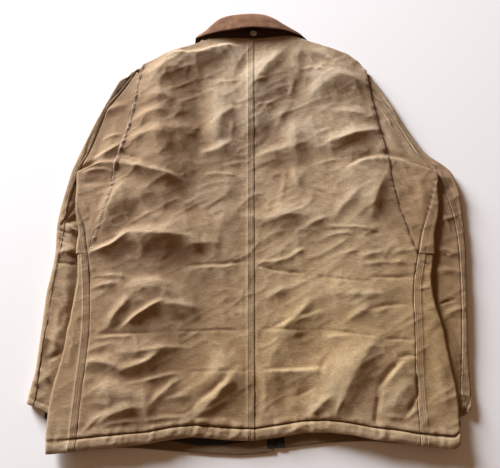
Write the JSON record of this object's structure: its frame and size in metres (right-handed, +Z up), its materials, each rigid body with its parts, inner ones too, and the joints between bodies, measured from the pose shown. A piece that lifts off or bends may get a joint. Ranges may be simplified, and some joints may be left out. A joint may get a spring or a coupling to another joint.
{
  "type": "duck canvas jacket",
  "caption": "Hip-length quilt-lined duck canvas work jacket with a corduroy collar, felled back and side seams and a zip front, lying face down with its back up and its sleeves under its sides.",
  "frame": {"origin": "on the ground, under the middle of the jacket's box as it lies", "axes": "+Z up, away from the ground; +Y from the hem towards the collar; +X towards the side that is on the right as the back is looked at with the collar up, which is the wearer's right"},
  "size_m": [0.7976, 0.8682, 0.0357],
  "materials": {
    "canvas": "worn and faded brown cotton duck, firm hand, dry matt plain weave",
    "corduroy": "fine-wale cotton corduroy, soft nap, rubbed along the roll",
    "under_collar": "dark brown corduroy, unfaded",
    "lining": "black quilted nylon, slightly glossy",
    "rib_knit": "black rib knit",
    "zip": "dulled metal chain on a brown woven tape",
    "snap": "dulled nickel press stud, rubbed edges"
  },
  "bodies": {
    "root": {"back_left": "canvas", "back_right": "canvas", "front_left": "canvas", "front_right": "canvas", "under_sleeve_left": "canvas", "under_sleeve_right": "canvas", "upper_sleeve_left": "canvas", "upper_sleeve_right": "canvas", "upper_collar": "corduroy", "under_collar": "under_collar", "lining": "lining", "rib_cuff_left": "rib_knit", "rib_cuff_right": "rib_knit", "front_zip": "zip", "hood_snap": "snap"}
  },
  "joints": []
}
